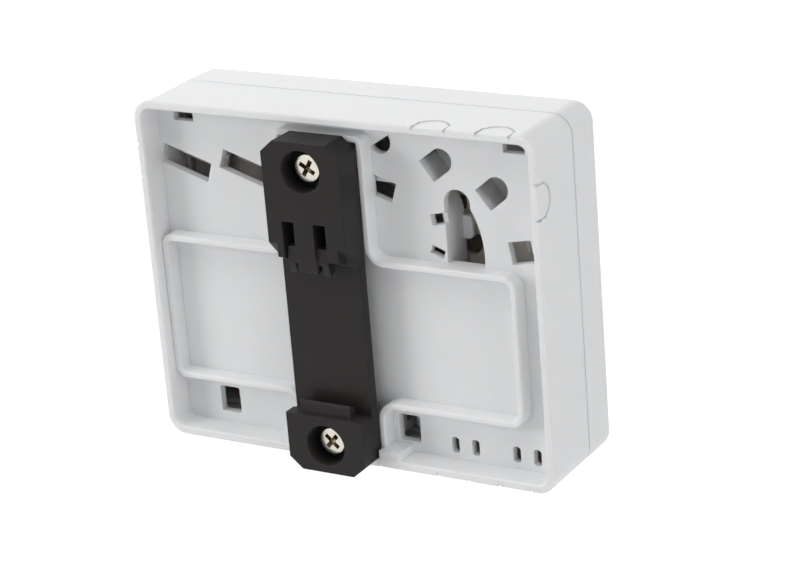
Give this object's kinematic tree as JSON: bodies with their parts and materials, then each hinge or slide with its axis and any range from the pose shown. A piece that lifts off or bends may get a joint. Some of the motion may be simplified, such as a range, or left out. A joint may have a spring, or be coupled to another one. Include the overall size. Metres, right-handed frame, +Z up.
{
  "type": "din rail fibre box",
  "caption": "Small plastic fibre splice and patch box with a clip for a 35 mm top-hat rail, adapters in its lower wall and a lift-off cover.",
  "frame": {"origin": "middle of the clip's seat on the rail, on the plane that the rail's flanges rest on", "axes": "+Y out of the rear towards the rail, so the front cover faces -Y; +Z up; +X along the rail, to the right seen from the front"},
  "size_m": [0.1014, 0.033, 0.088],
  "materials": {
    "case_plastic": "fine satin moulding, cool white",
    "clip_plastic": "satin moulding, black",
    "tray_plastic": "satin moulding, mid grey",
    "adapter_plastic": "satin moulding, blue",
    "cap_plastic": "soft satin moulding, off-white",
    "sleeve_ceramic": "polished ceramic",
    "screw_steel": "nickel-plated",
    "spring_steel": "bright rolled strip"
  },
  "bodies": {
    "case": {"base_housing": "case_plastic", "rail_clip": "clip_plastic", "clip_screws": "screw_steel", "splice_tray": "tray_plastic", "splice_holder": "tray_plastic", "adapter_bracket": "case_plastic", "bracket_screws": "screw_steel", "cable_clamp": "case_plastic", "clamp_screws": "screw_steel", "adapter_1_body": "adapter_plastic", "adapter_1_outer_holder": "adapter_plastic", "adapter_1_inner_holder": "adapter_plastic", "adapter_1_sleeve": "sleeve_ceramic", "adapter_1_spring": "spring_steel", "adapter_1_inner_cap": "cap_plastic", "adapter_2_body": "adapter_plastic", "adapter_2_outer_holder": "adapter_plastic", "adapter_2_inner_holder": "adapter_plastic", "adapter_2_sleeve": "sleeve_ceramic", "adapter_2_spring": "spring_steel", "adapter_2_inner_cap": "cap_plastic"},
    "cover": {"front_cover": "case_plastic", "cover_screw": "screw_steel"},
    "cap_1": {"adapter_1_outer_cap": "cap_plastic"},
    "cap_2": {"adapter_2_outer_cap": "cap_plastic"}
  },
  "joints": [
    {"name": "cover_slide", "type": "slide", "parent": "case", "child": "cover", "axis": [0, -1, 0], "range_m": [0, 0.03]},
    {"name": "cap_1_slide", "type": "slide", "parent": "case", "child": "cap_1", "axis": [0, 0, -1], "range_m": [0, 0.02]},
    {"name": "cap_2_slide", "type": "slide", "parent": "case", "child": "cap_2", "axis": [0, 0, -1], "range_m": [0, 0.02]}
  ]
}
